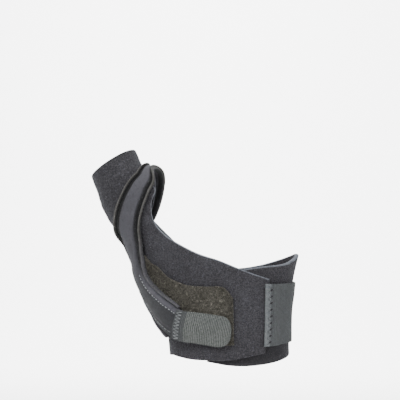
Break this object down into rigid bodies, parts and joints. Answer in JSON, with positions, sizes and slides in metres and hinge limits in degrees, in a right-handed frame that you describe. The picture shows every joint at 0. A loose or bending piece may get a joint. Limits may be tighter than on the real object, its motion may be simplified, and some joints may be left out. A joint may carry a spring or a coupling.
{
  "type": "thumb spica splint",
  "caption": "Soft right-hand thumb and wrist splint of knitted laminate, with a thumb sleeve, a bound strap through the thumb web and two hook tabs.",
  "frame": {"origin": "middle of the wrist hollow, level with the middle of the strap's hook tab, where the splint sits on the wrist", "axes": "+Z along the forearm to the fingers, -Y out of the back of the hand, -X to the thumb"},
  "size_m": [0.1234, 0.0614, 0.1278],
  "materials": {
    "cloth": "matte knitted laminate",
    "strap": "smooth brushed elastic",
    "binding": "folded woven tape",
    "hook_tape": "ribbed hook tape",
    "loop_pile": "fuzzy loop pile"
  },
  "bodies": {
    "root": {"main_wrap": "cloth", "thumb_sleeve": "cloth", "thumb_strap": "strap", "strap_binding_hand_side": "binding", "strap_binding_thumb_side": "binding", "strap_hook_tab": "hook_tape", "closure_hook_tab": "hook_tape", "loop_patch": "loop_pile"}
  },
  "joints": []
}
